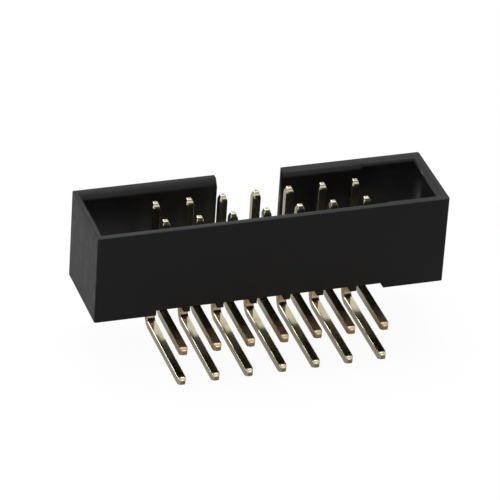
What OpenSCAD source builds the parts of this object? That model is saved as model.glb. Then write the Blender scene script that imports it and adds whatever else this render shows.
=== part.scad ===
// Right-angle box header: a shrouded socket for a ribbon-cable plug, with two
// rows of bent square contacts.
//
// Frame: the socket opens towards +Z, the contacts stand in rows along X, and
// the solder tails leave towards -Y, the side that meets the circuit board.
// Z = 0 is the underside of the lower tails, and X = Y = 0 is the middle of
// the whole part. Millimetres.

/* [Contacts] */
// Contacts in each of the two rows
columns = 7; // [3:1:12]
// Distance between contacts along a row
pitch = 2.0; // [1.8:0.05:2.6]
// Distance between the two rows, in the socket and at the board
row_gap = 2.0; // [1.8:0.05:2.4]
// Side of the square contact wire
pin_w = 0.5; // [0.4:0.02:0.6]
// Contact length above the socket floor
mating_length = 3.71; // [2.5:0.05:3.9]
// Centre of the upper tails below the housing's feet
tail_drop = 0.77; // [0.6:0.01:1.2]
// Tail length past the board face of the housing
tail_reach = 2.98; // [2:0.05:4]
// Bend radius at the centre of the wire
bend_r = 0.55; // [0.4:0.05:0.8]
// Side of the small flat on a contact's two ends
tip_w = 0.3; // [0.2:0.02:0.34]
// Length of the taper at the mating end
mating_taper = 0.42; // [0.2:0.02:0.8]
// Length of the taper at the tail end
tail_taper = 0.34; // [0.2:0.02:0.8]

/* [Fit of the contacts in the floor] */
// Gap between the wire and its hole, on each side
hole_gap = 0.03; // [0.01:0.01:0.06]
// Length of the barbs that grip the hole's two side faces
barb_length = 0.6; // [0.3:0.05:0.8]

/* [Socket] */
// Clear width of the socket, across the rows
socket_w = 4.1; // [3.6:0.05:4.8]
// Clear room between the last contact's centre and the end wall
end_room = 3.91; // [2:0.05:5]
// Depth of the socket, from the rim to its floor
socket_depth = 4.02; // [4:0.02:6]
// Thickness of the two long walls
side_wall = 0.65; // [0.55:0.05:1]
// Thickness of the two end walls
end_wall = 0.55; // [0.5:0.05:1]
// Thickness of the floor that holds the contacts
floor_t = 1.17; // [0.9:0.01:2]
// Width of the key slot in the back wall
slot_w = 4.0; // [2:0.1:5]
// Radius of the upright outer corners
corner_r = 0.12; // [0.05:0.01:0.3]

/* [Lead-in at the rim] */
// How far the lead-in opens each wall
lead_in = 0.30; // [0.1:0.01:0.36]
// Height of the lead-in
lead_in_depth = 0.42; // [0.2:0.01:0.8]
// How far the lead-in opens each wall in the bay past the last contact
bay_lead_in = 0.24; // [0.1:0.01:0.36]
// Height of the lead-in in that bay
bay_lead_in_depth = 0.24; // [0.1:0.01:0.8]

/* [Underside] */
// Height of the feet and of the ribs between the contacts
foot_h = 0.33; // [0.2:0.01:0.8]
// Width of the ribs between the contacts
rib_w = 0.36; // [0.2:0.02:0.6]

/* [Hidden] */
$fn = 48;
over = 0.2;

row_span = (columns - 1) * pitch;
socket_l = row_span + 2 * end_room;
body_l = socket_l + 2 * end_wall;
body_w = socket_w + 2 * side_wall;

lower_tail_z = pin_w / 2;
upper_tail_z = lower_tail_z + row_gap;
foot_z = upper_tail_z + tail_drop;
base_z = foot_z + foot_h;
floor_z = base_z + floor_t;
rim_z = floor_z + socket_depth;
tip_z = floor_z + mating_length;

// The part is centred in Y over the housing and the tails together.
housing_y = tail_reach / 2;
back_row_y = housing_y + row_gap / 2;
front_row_y = housing_y - row_gap / 2;
board_face_y = housing_y - body_w / 2;
tail_end_y = board_face_y - tail_reach;

hole_w = pin_w + 2 * hole_gap;
pocket_l = pitch - rib_w;
bay_x = (row_span + pocket_l) / 2;

columns_list = [1:columns];

function column_x(i) = (i - 1) * pitch - row_span / 2;

// A trapezoid that is `low` wide at z = 0 and `high` wide at z = h.
module trapezoid(low, high, h) {
    polygon([[-low / 2, 0], [low / 2, 0], [high / 2, h], [-high / 2, h]]);
}

// A straight-sided funnel on z = 0, centred: l0 x w0 below, l1 x w1 above.
module funnel(l0, w0, l1, w1, h) {
    intersection() {
        rotate([90, 0, 0])
            linear_extrude(max(w0, w1), center = true)
                trapezoid(l0, l1, h);
        rotate([90, 0, 90])
            linear_extrude(max(l0, l1), center = true)
                trapezoid(w0, w1, h);
    }
}

// The lead-in's cutter: from the socket's size up to its size at the rim, and
// on past the rim at the same slope.
module lead_in_cut(opening, depth) {
    grow = 2 * opening * (depth + over) / depth;
    translate([0, housing_y, rim_z - depth])
        funnel(socket_l, socket_w, socket_l + grow, socket_w + grow, depth + over);
}

// Everything past the last column, at the end with the shallower lead-in.
module end_bay() {
    translate([bay_x, housing_y - body_w, floor_z])
        cube([body_l, 2 * body_w, socket_depth + 2 * over]);
}

module outer_block() {
    x = body_l / 2 - corner_r;
    y = body_w / 2 - corner_r;
    translate([0, housing_y, foot_z])
        linear_extrude(rim_z - foot_z)
            union() {
                square([2 * x, body_w], center = true);
                square([body_l, 2 * y], center = true);
                for (sx = [-1, 1], sy = [-1, 1])
                    translate([sx * x, sy * y]) circle(corner_r);
            }
}

module socket_cut() {
    translate([-socket_l / 2, housing_y - socket_w / 2, floor_z])
        cube([socket_l, socket_w, socket_depth + over]);
    difference() {
        lead_in_cut(lead_in, lead_in_depth);
        end_bay();
    }
    intersection() {
        lead_in_cut(bay_lead_in, bay_lead_in_depth);
        end_bay();
    }
}

// The key slot goes right through the back wall, from the rim to the floor.
module key_slot_cut() {
    translate([-slot_w / 2, housing_y, floor_z])
        cube([slot_w, body_w, socket_depth + over]);
}

// One pocket under each column leaves a rib between columns and a foot at each end.
module underside_cut() {
    for (i = columns_list)
        translate([column_x(i) - pocket_l / 2, housing_y - body_w, foot_z - over])
            cube([pocket_l, 2 * body_w, foot_h + over]);
}

module pin_holes() {
    for (i = columns_list, y = [front_row_y, back_row_y])
        translate([column_x(i) - hole_w / 2, y - hole_w / 2, base_z - over])
            cube([hole_w, hole_w, floor_t + 2 * over]);
}

module housing() {
    color("#1c1b1d")
        difference() {
            outer_block();
            socket_cut();
            key_slot_cut();
            underside_cut();
            pin_holes();
        }
}

// The tapered end of a contact, standing on z = 0.
module tapered_end(length) {
    funnel(pin_w, pin_w, tip_w, tip_w, length);
}

// A barb on each side of the wire, as wide as the hole, sloped for insertion.
module barbs() {
    translate([0, pin_w / 2, base_z + floor_t / 2 - barb_length / 2])
        rotate([90, 0, 0])
            linear_extrude(pin_w)
                trapezoid(hole_w, pin_w, barb_length);
}

// One contact in the plane X = 0: upright in its row, bent towards the board.
module contact(row_y, tail_z) {
    leg_bottom = tail_z + bend_r;
    tail_start = row_y - bend_r;
    color("#d8cc98")
        union() {
            translate([0, row_y, tip_z - mating_taper]) tapered_end(mating_taper);
            translate([-pin_w / 2, row_y - pin_w / 2, leg_bottom])
                cube([pin_w, pin_w, tip_z - mating_taper - leg_bottom]);
            translate([0, row_y, 0]) barbs();
            translate([0, tail_start, leg_bottom])
                rotate([90, 0, 90])
                    rotate([0, 0, -90])
                        rotate_extrude(angle = 90)
                            translate([bend_r - pin_w / 2, -pin_w / 2]) square(pin_w);
            translate([-pin_w / 2, tail_end_y + tail_taper, tail_z - pin_w / 2])
                cube([pin_w, tail_start - tail_end_y - tail_taper, pin_w]);
            translate([0, tail_end_y + tail_taper, tail_z])
                rotate([90, 0, 0]) tapered_end(tail_taper);
        }
}

module short_pin(i) {
    translate([column_x(i), 0, 0]) contact(front_row_y, upper_tail_z);
}

module long_pin(i) {
    translate([column_x(i), 0, 0]) contact(back_row_y, lower_tail_z);
}

housing();
for (i = columns_list) {
    short_pin(i);
    long_pin(i);
}
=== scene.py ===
"""Looks of the right-angle box header.

The black moulded housing is the frame's own housing with its upright corners
rounded and the rim's outer edges barely broken. Each contact is one rounded
square wire, swept from its tapered mating tip through the socket floor and
round the bend to its tail.
"""
import math

import bmesh
import bpy
from mathutils import Matrix, Vector


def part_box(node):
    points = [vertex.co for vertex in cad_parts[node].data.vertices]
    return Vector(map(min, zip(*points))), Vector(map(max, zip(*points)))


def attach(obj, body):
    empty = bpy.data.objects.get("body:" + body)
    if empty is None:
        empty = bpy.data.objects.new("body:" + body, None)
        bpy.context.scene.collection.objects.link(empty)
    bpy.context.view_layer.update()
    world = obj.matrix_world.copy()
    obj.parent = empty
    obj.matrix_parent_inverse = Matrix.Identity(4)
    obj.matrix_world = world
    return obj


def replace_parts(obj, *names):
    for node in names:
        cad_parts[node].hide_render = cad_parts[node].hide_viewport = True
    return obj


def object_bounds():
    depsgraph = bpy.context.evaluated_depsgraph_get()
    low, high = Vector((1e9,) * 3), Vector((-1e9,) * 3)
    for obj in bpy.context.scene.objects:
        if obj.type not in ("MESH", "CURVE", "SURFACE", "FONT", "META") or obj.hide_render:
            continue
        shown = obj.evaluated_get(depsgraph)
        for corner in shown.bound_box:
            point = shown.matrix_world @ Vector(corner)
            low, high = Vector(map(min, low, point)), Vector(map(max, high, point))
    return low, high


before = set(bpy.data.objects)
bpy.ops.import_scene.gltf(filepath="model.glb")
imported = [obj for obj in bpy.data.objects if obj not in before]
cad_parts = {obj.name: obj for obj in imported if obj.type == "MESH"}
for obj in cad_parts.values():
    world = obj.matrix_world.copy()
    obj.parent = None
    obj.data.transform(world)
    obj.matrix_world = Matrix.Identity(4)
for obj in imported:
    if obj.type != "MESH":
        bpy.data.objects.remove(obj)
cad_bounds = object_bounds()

MM = 0.001

# Camera: where it stands, seen from the middle of the part, and what it aims at.
CAMERA_AZIMUTH = math.radians(-19.81)
CAMERA_ELEVATION = math.radians(31.61)
CAMERA_ROLL = math.radians(3.91)
CAMERA_DISTANCE = 238.5 * MM
CAMERA_AIM = Vector((-0.70, 0.89, 1.03)) * MM
CAMERA_LENS = 300.5
SENSOR_WIDTH = 36
CLIP_START = 10 * MM
CLIP_END = 10

# Rounded edges of the moulding. RIM_RADIUS is only asked for: the bevel's overlap
# clamp leaves about 0.006 mm of it, and the pale strip painted on it, partly wear and partly a
# painted highlight, is as narrow.
CORNER_RADIUS = 0.12 * MM
CORNER_FACETS = 5
RIM_RADIUS = 0.07 * MM
RIM_FACETS = 4
SHARP_ANGLE = math.radians(30)
FLAT_ANGLE = math.radians(1)
WELD = 0.001 * MM
TOUCH = 0.002 * MM

# Contacts: square wire with rolled corners, and small flats at both ends.
WIRE = 0.50 * MM
WIRE_CORNER = 0.065 * MM
BEND_RADIUS = 0.55 * MM
TIP_FLAT = 0.30 * MM
MATING_TAPER = 0.42 * MM
TAIL_TAPER = 0.34 * MM
TIP_ROUND = 0.07 * MM
# Above 1, the taper's sides swell outwards like a barrel's.
TIP_BULGE = 1.8
# The barbs sit half way up the socket floor, as in the CAD.
BARB_BOTTOM = 3.635 * MM
BARB_LENGTH = 0.6 * MM
BARB_STEP = 0.005 * MM
CORNER_STEPS = 5
BEND_STEPS = 16
TIP_STEPS = 6

# Colours, linear.
PLASTIC_WARM = (0.0072, 0.0056, 0.0058, 1)
PLASTIC_COOL = (0.0064, 0.0060, 0.0078, 1)
# Pale rim edges: partly wear, partly a painted highlight of the rounded rim catching the lamps.
WORN_AND_HIGHLIT_RIM_COLOUR = (0.085, 0.085, 0.087, 1)
GOLD = (0.80, 0.745, 0.54, 1)
GOLD_DULL = (0.66, 0.58, 0.37, 1)
BROWN_FILM = (0.60, 0.43, 0.26, 1)
CUT_METAL = (0.45, 0.33, 0.18, 1)

# Surfaces. A film's span is in millimetres past the middle of the wire's bend.
# How far the rim's edges are painted paler: partly wear, partly a painted highlight.
RIM_PALING_WEAR_AND_HIGHLIGHT = 0.6
PLASTIC_IOR = 1.40
PLASTIC_ROUGHNESS = (0.33, 0.45)
PLATING_ROUGHNESS = (0.09, 0.15)
FILM_DULLING = 2.6
FILM_SPANS = {"short": (2.8, 9.0), "long": (-1.2, 0.3)}

# White surroundings: what camera rays see, and the share of it that surfaces mirror.
FLOOR_SIZE = 600 * MM
FLOOR_COLOUR = (0.42, 0.42, 0.42, 1)
FLOOR_SHADOW_COLOUR = (0.13, 0.13, 0.13, 1)
FLOOR_GLOW = 0.93
FLOOR_MIRRORED = 0.2
WORLD_MIRRORED = 0.6
WORLD_FILL = 0.35
LAMP_DISTANCE = 400 * MM

# Lamps: name, azimuth, elevation, size, radiance, colour.
LAMPS = (
    ("top_softbox", 170, 65, (250 * MM, 200 * MM), 2.0, (1, 1, 1)),
    ("left_softbox", -95, 30, (160 * MM, 160 * MM), 2.0, (1, 1, 1)),
    ("back_left_strip", 213, 17, (240 * MM, 120 * MM), 5.0, (0.90, 0.95, 1.0)),
)


# ---------------------------------------------------------------- materials

class Nodes:
    """A new material's node tree, with short calls to add and link nodes."""

    def __init__(self, name):
        self.material = bpy.data.materials.new(name)
        self.material.use_nodes = True
        self.tree = self.material.node_tree
        self.tree.nodes.clear()
        self.output = self.add("ShaderNodeOutputMaterial")

    def add(self, kind, **settings):
        node = self.tree.nodes.new(kind)
        for name, value in settings.items():
            setattr(node, name, value)
        return node

    def link(self, source, target):
        self.tree.links.new(source, target)

    def noise(self, vector, scale, detail=2.0, roughness=0.5):
        node = self.add("ShaderNodeTexNoise")
        node.inputs["Scale"].default_value = scale
        node.inputs["Detail"].default_value = detail
        node.inputs["Roughness"].default_value = roughness
        self.link(vector, node.inputs["Vector"])
        return node.outputs["Fac"]

    def ramp(self, value, low, high, out_low=0.0, out_high=1.0):
        node = self.add("ShaderNodeMapRange")
        for name, number in (("From Min", low), ("From Max", high),
                             ("To Min", out_low), ("To Max", out_high)):
            node.inputs[name].default_value = number
        self.link(value, node.inputs["Value"])
        return node.outputs["Result"]

    def blend(self, factor, first, second):
        node = self.add("ShaderNodeMix", data_type="RGBA")
        self.link(factor, node.inputs["Factor"])
        for name, colour in (("A", first), ("B", second)):
            socket = next(s for s in node.inputs if s.name == name and s.type == "RGBA")
            if isinstance(colour, tuple):
                socket.default_value = colour
            else:
                self.link(colour, socket)
        return next(s for s in node.outputs if s.type == "RGBA")

    def product(self, first, second):
        node = self.add("ShaderNodeMath", operation="MULTIPLY")
        self.link(first, node.inputs[0])
        self.link(second, node.inputs[1])
        return node.outputs["Value"]

    def bump(self, height, strength, distance):
        node = self.add("ShaderNodeBump")
        node.inputs["Strength"].default_value = strength
        node.inputs["Distance"].default_value = distance
        self.link(height, node.inputs["Height"])
        return node.outputs["Normal"]


def millimetres(nodes):
    """Object coordinates in millimetres."""
    place = nodes.add("ShaderNodeTexCoord")
    scale = nodes.add("ShaderNodeVectorMath", operation="MULTIPLY")
    nodes.link(place.outputs["Object"], scale.inputs[0])
    scale.inputs[1].default_value = [1 / MM] * 3
    return scale.outputs["Vector"]


def moulded_plastic(name, wear_and_highlight):
    """Black glass-filled plastic with the fine spark texture of its mould.

    The last argument is how much of the surface is painted paler, as the rim's edges are: partly
    wear, partly a painted highlight.
    """
    nodes = Nodes(name)
    place = millimetres(nodes)
    surface = nodes.add("ShaderNodeBsdfPrincipled")
    surface.inputs["IOR"].default_value = PLASTIC_IOR
    patches = nodes.ramp(nodes.noise(place, 0.22, 2.0), 0.38, 0.62)
    black = nodes.blend(patches, PLASTIC_WARM, PLASTIC_COOL)
    # Pale patches: partly wear, partly a painted highlight on the rim.
    rubbed_and_highlit = nodes.ramp(nodes.noise(place, 2.4, 4.0, 0.7), 0.62 - 0.22 * wear_and_highlight, 0.80, 0.0, wear_and_highlight)
    nodes.link(nodes.blend(rubbed_and_highlit, black, WORN_AND_HIGHLIT_RIM_COLOUR), surface.inputs["Base Color"])
    cloud = nodes.noise(place, 0.9, 4.0, 0.6)
    nodes.link(nodes.ramp(cloud, 0.3, 0.7, *PLASTIC_ROUGHNESS), surface.inputs["Roughness"])
    grain = nodes.noise(place, 9.0, 3.0, 0.6)
    nodes.link(nodes.bump(grain, 0.3, 0.01 * MM), surface.inputs["Normal"])
    nodes.link(surface.outputs["BSDF"], nodes.output.inputs["Surface"])
    return nodes.material


def plated_wire(name, film_start, film_end, tail_end):
    """Pale gold plating with drawn streaks along the wire.

    A brown film covers the wire from film_start to film_end, both in
    millimetres past the middle of its bend, and the cut end of the tail.
    """
    nodes = Nodes(name)
    surface = nodes.add("ShaderNodeBsdfPrincipled")
    surface.inputs["Metallic"].default_value = 1.0
    place = millimetres(nodes)
    wire = nodes.add("ShaderNodeUVMap", uv_map="wire").outputs["UV"]
    stretch = nodes.add("ShaderNodeVectorMath", operation="MULTIPLY")
    nodes.link(wire, stretch.inputs[0])
    stretch.inputs[1].default_value = (14.0, 0.8, 1.0)
    streaks = nodes.noise(stretch.outputs["Vector"], 1.0, 3.0, 0.6)
    patches = nodes.noise(place, 1.6, 3.0, 0.6)
    plating = nodes.blend(nodes.ramp(patches, 0.45, 0.75), GOLD, GOLD_DULL)

    along = nodes.add("ShaderNodeSeparateXYZ")
    nodes.link(wire, along.inputs[0])
    begun = nodes.ramp(along.outputs["Y"], film_start - 0.4, film_start + 0.4)
    over = nodes.ramp(along.outputs["Y"], film_end + 0.3, film_end - 0.3)
    zone = nodes.product(begun, over)
    film = nodes.product(zone, nodes.ramp(patches, 0.30, 0.55, 0.35, 1.0))
    filmed = nodes.blend(film, plating, BROWN_FILM)

    split = nodes.add("ShaderNodeSeparateXYZ")
    nodes.link(place, split.inputs[0])
    end = tail_end / MM
    cut = nodes.ramp(split.outputs["Y"], end + 0.04, end + 0.01)
    nodes.link(nodes.blend(cut, filmed, CUT_METAL), surface.inputs["Base Color"])

    polish = nodes.ramp(streaks, 0.3, 0.7, *PLATING_ROUGHNESS)
    dull = nodes.ramp(film, 0.0, 1.0, 1.0, FILM_DULLING)
    nodes.link(nodes.product(polish, dull), surface.inputs["Roughness"])
    nodes.link(nodes.bump(streaks, 0.08, 0.003 * MM), surface.inputs["Normal"])
    nodes.link(surface.outputs["BSDF"], nodes.output.inputs["Surface"])
    return nodes.material


# ------------------------------------------------------------------ meshes

def mesh_object(name, bm, materials):
    """Makes a smooth-shaded piece from bm, its normals weighted towards its large faces."""
    mesh = bpy.data.meshes.new(name)
    bm.to_mesh(mesh)
    bm.free()
    mesh.polygons.foreach_set("use_smooth", [True] * len(mesh.polygons))
    mesh.materials.clear()
    for material in materials:
        mesh.materials.append(material)
    piece = bpy.data.objects.new(name, mesh)
    bpy.context.scene.collection.objects.link(piece)
    normals = piece.modifiers.new("flats", "WEIGHTED_NORMAL")
    normals.keep_sharp = True
    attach(piece, "root")
    return piece


def near(a, b):
    return abs(a - b) < TOUCH


def square_corners(bm, low, high):
    """Draws the frame's few-sided upright corner arcs out to one sharp edge each."""
    for v in bm.verts:
        for axis in (0, 1):
            other = 1 - axis
            for side in (low, high):
                if abs(v.co[axis] - side[axis]) < CORNER_RADIUS * 1.01:
                    for across in (low, high):
                        if abs(v.co[other] - across[other]) < CORNER_RADIUS * 1.01:
                            v.co[axis] = side[axis]
                            v.co[other] = across[other]
    bmesh.ops.remove_doubles(bm, verts=bm.verts, dist=WELD)
    bmesh.ops.dissolve_degenerate(bm, dist=WELD, edges=bm.edges)


def round_edges(bm, wanted, radius, steps):
    """Rounds each sharp edge for which wanted(first, second) is true of its two ends.

    Where other edges crowd in, the overlap clamp makes the rounding smaller than radius.
    """
    edges = [e for e in bm.edges
             if len(e.link_faces) == 2 and e.calc_face_angle() > SHARP_ANGLE
             and wanted(e.verts[0].co, e.verts[1].co)]
    made = bmesh.ops.bevel(bm, geom=edges, offset=radius, offset_type="OFFSET", segments=steps,
                           profile=0.5, affect="EDGES", clamp_overlap=True)
    return made["faces"]


def housing_shell(plastic, worn_highlit_rim):
    low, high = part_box("housing")
    bm = bmesh.new()
    bm.from_mesh(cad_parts["housing"].data)
    bmesh.ops.remove_doubles(bm, verts=bm.verts, dist=WELD)
    square_corners(bm, low, high)
    bmesh.ops.dissolve_limit(bm, angle_limit=FLAT_ANGLE, verts=bm.verts, edges=bm.edges)

    def is_corner(p):
        return all(any(near(p[axis], side[axis]) for side in (low, high)) for axis in (0, 1))

    def on_rim(p):
        on_side = any(near(p[axis], side[axis]) for axis in (0, 1) for side in (low, high))
        return near(p.z, high.z) and on_side

    round_edges(bm, lambda a, b: is_corner(a) and is_corner(b) and not near(a.z, b.z),
                CORNER_RADIUS, CORNER_FACETS)
    edges = round_edges(bm, lambda a, b: on_rim(a) and on_rim(b), RIM_RADIUS, RIM_FACETS)
    # The rim's rounded faces take the pale plastic: partly wear, partly a painted highlight.
    for face in edges:
        if face.calc_center_median().z > high.z - RIM_RADIUS:
            face.material_index = 1
    piece = mesh_object("moulded_housing", bm, (plastic, worn_highlit_rim))
    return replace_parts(piece, "housing")


def wire_section(half_x, half_t, radius):
    """Points round a rounded rectangle, from its +x +t corner round towards -x."""
    points = []
    for quarter, (sx, st) in enumerate(((1, 1), (-1, 1), (-1, -1), (1, -1))):
        for step in range(CORNER_STEPS + 1):
            angle = (quarter + step / CORNER_STEPS) * math.pi / 2
            points.append((sx * (half_x - radius) + radius * math.cos(angle),
                           st * (half_t - radius) + radius * math.sin(angle)))
    return points


def tip_outline(taper):
    """Distances from the end and half widths of a tapered tip, from its flat to its shoulder."""
    flat = TIP_FLAT / 2
    outline = []
    for step in range(TIP_STEPS):
        angle = step / TIP_STEPS * math.pi / 2
        outline.append((TIP_ROUND * (1 - math.cos(angle)),
                        flat - TIP_ROUND * (1 - math.sin(angle))))
    grown = WIRE / 2 - flat
    for step in range(TIP_STEPS + 1):
        share = step / TIP_STEPS
        outline.append((TIP_ROUND + (taper - TIP_ROUND) * share,
                        flat + grown * (1 - (1 - share) ** TIP_BULGE)))
    return outline


def contact(name, node, material):
    """One contact in place of a CAD pin, swept from its mating tip to its tail."""
    low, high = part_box(node)
    x = (low.x + high.x) / 2
    half = WIRE / 2
    row_y = high.y - half
    tail_z = low.z + half
    bend_z = tail_z + BEND_RADIUS
    bend_y = row_y - BEND_RADIUS
    barb_half = (high.x - low.x) / 2

    # Rings: place in the YZ plane, angle of the wire from straight down, half sizes.
    rings = []

    def upright(z, half_x, half_t):
        rings.append((row_y, z, 0.0, half_x, half_t))

    def tail(y, half_x, half_t):
        rings.append((y, tail_z, math.pi / 2, half_x, half_t))

    for distance, size in tip_outline(MATING_TAPER):
        upright(high.z - distance, size, size)
    upright(BARB_BOTTOM + BARB_LENGTH, half, half)
    upright(BARB_BOTTOM, barb_half, half)
    upright(BARB_BOTTOM - BARB_STEP, half, half)
    for step in range(BEND_STEPS + 1):
        angle = step / BEND_STEPS * math.pi / 2
        rings.append((bend_y + BEND_RADIUS * math.cos(angle),
                      bend_z - BEND_RADIUS * math.sin(angle), angle, half, half))
    for distance, size in reversed(tip_outline(TAIL_TAPER)):
        tail(low.y + distance, size, size)

    bm = bmesh.new()
    loops = []
    for y, z, angle, half_x, half_t in rings:
        radius = WIRE_CORNER * min(half_x, half_t) / half
        loops.append([bm.verts.new((x + px, y + pt * math.cos(angle), z - pt * math.sin(angle)))
                      for px, pt in wire_section(half_x, half_t, radius)])
    wire_map = bm.loops.layers.uv.new("wire")
    count = len(loops[0])
    length = -(high.z - bend_z + BEND_RADIUS * math.pi / 4) / MM
    for first, second in zip(loops, loops[1:]):
        step = (second[0].co - first[0].co).length / MM
        for i in range(count):
            j = (i + 1) % count
            face = bm.faces.new((first[i], first[j], second[j], second[i]))
            for corner, (u, v) in zip(face.loops, ((i, 0), (i + 1, 0), (i + 1, step), (i, step))):
                corner[wire_map].uv = (u / count, length + v)
        length += step
    bm.faces.new(loops[0])
    bm.faces.new(loops[-1])
    bmesh.ops.recalc_face_normals(bm, faces=bm.faces)
    piece = mesh_object(name, bm, (material,))
    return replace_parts(piece, node)


# -------------------------------------------------------------- the studio

def direction(azimuth, elevation):
    """Unit vector from the part towards a place seen at this azimuth and elevation."""
    return Vector((math.sin(azimuth) * math.cos(elevation),
                   -math.cos(azimuth) * math.cos(elevation), math.sin(elevation)))


def make_camera(centre):
    data = bpy.data.cameras.new("camera")
    data.lens = CAMERA_LENS
    data.sensor_width = SENSOR_WIDTH
    data.clip_start = CLIP_START
    data.clip_end = CLIP_END
    camera = bpy.data.objects.new("camera", data)
    bpy.context.scene.collection.objects.link(camera)
    back = direction(CAMERA_AZIMUTH, CAMERA_ELEVATION)
    camera.location = centre + CAMERA_AIM + back * CAMERA_DISTANCE
    facing = (-back).to_track_quat("-Z", "Y").to_matrix()
    camera.rotation_euler = (facing @ Matrix.Rotation(CAMERA_ROLL, 3, "Z")).to_euler()
    bpy.context.scene.camera = camera


def softbox(centre, name, azimuth, elevation, size, radiance, colour):
    data = bpy.data.lights.new(name, "AREA")
    data.shape = "RECTANGLE"
    data.size, data.size_y = size
    data.energy = radiance * math.pi * size[0] * size[1]
    data.color = colour
    lamp = bpy.data.objects.new(name, data)
    bpy.context.scene.collection.objects.link(lamp)
    back = direction(math.radians(azimuth), math.radians(elevation))
    lamp.location = centre + back * LAMP_DISTANCE
    lamp.rotation_euler = (-back).to_track_quat("-Z", "Y").to_euler()
    lamp.visible_camera = False


def pale_rays(tree, glossy_share):
    """1 for camera rays, glossy_share for the rays that metal and plastic mirror, else 0."""
    rays = tree.nodes.new("ShaderNodeLightPath")
    mirrored = tree.nodes.new("ShaderNodeMath")
    mirrored.operation = "MAXIMUM"
    tree.links.new(rays.outputs["Is Glossy Ray"], mirrored.inputs[0])
    tree.links.new(rays.outputs["Is Transmission Ray"], mirrored.inputs[1])
    shared = tree.nodes.new("ShaderNodeMath")
    shared.operation = "MULTIPLY"
    tree.links.new(mirrored.outputs[0], shared.inputs[0])
    shared.inputs[1].default_value = glossy_share
    both = tree.nodes.new("ShaderNodeMath")
    both.operation = "MAXIMUM"
    tree.links.new(rays.outputs["Is Camera Ray"], both.inputs[0])
    tree.links.new(shared.outputs[0], both.inputs[1])
    return both.outputs[0]


def make_floor():
    bm = bmesh.new()
    bmesh.ops.create_grid(bm, x_segments=1, y_segments=1, size=FLOOR_SIZE / 2)
    mesh = bpy.data.meshes.new("floor")
    bm.to_mesh(mesh)
    bm.free()
    floor = bpy.data.objects.new("floor", mesh)
    bpy.context.scene.collection.objects.link(floor)
    nodes = Nodes("pale_floor")
    seen = pale_rays(nodes.tree, FLOOR_MIRRORED)
    paper = nodes.add("ShaderNodeBsdfDiffuse")
    nodes.link(nodes.blend(seen, FLOOR_COLOUR, FLOOR_SHADOW_COLOUR), paper.inputs["Color"])
    glow = nodes.add("ShaderNodeEmission")
    nodes.link(nodes.ramp(seen, 0.0, 1.0, 0.0, FLOOR_GLOW), glow.inputs["Strength"])
    both = nodes.add("ShaderNodeAddShader")
    nodes.link(paper.outputs[0], both.inputs[0])
    nodes.link(glow.outputs[0], both.inputs[1])
    nodes.link(both.outputs[0], nodes.output.inputs["Surface"])
    mesh.materials.append(nodes.material)


def make_world():
    world = bpy.data.worlds.new("white_studio")
    bpy.context.scene.world = world
    world.use_nodes = True
    tree = world.node_tree
    background = tree.nodes["Background"]
    background.inputs["Color"].default_value = (1, 1, 1, 1)
    lift = tree.nodes.new("ShaderNodeMapRange")
    tree.links.new(pale_rays(tree, WORLD_MIRRORED), lift.inputs["Value"])
    lift.inputs["To Min"].default_value = WORLD_FILL
    lift.inputs["To Max"].default_value = 1.0
    tree.links.new(lift.outputs["Result"], background.inputs["Strength"])


def make_studio():
    low, high = cad_bounds
    centre = (low + high) / 2
    make_camera(centre)
    make_world()
    make_floor()
    for lamp in LAMPS:
        softbox(centre, *lamp)
    bpy.context.scene.view_settings.view_transform = "Standard"


def make_contacts():
    """All contacts, with one plating for the short ones and one for the long ones."""
    tail_end = cad_bounds[0].y
    plating = {row: plated_wire("plating_" + row, start, end, tail_end)
               for row, (start, end) in FILM_SPANS.items()}
    for node in sorted(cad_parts):
        if node != "housing":
            contact(node.replace("pin", "contact"), node, plating[node.split("_")[0]])


make_studio()
# The second plastic paints the rim's edges paler: partly wear, partly a painted highlight.
housing_shell(moulded_plastic("black_plastic", 0.0),
              moulded_plastic("rim_plastic_worn_and_highlit", RIM_PALING_WEAR_AND_HIGHLIGHT))
make_contacts()
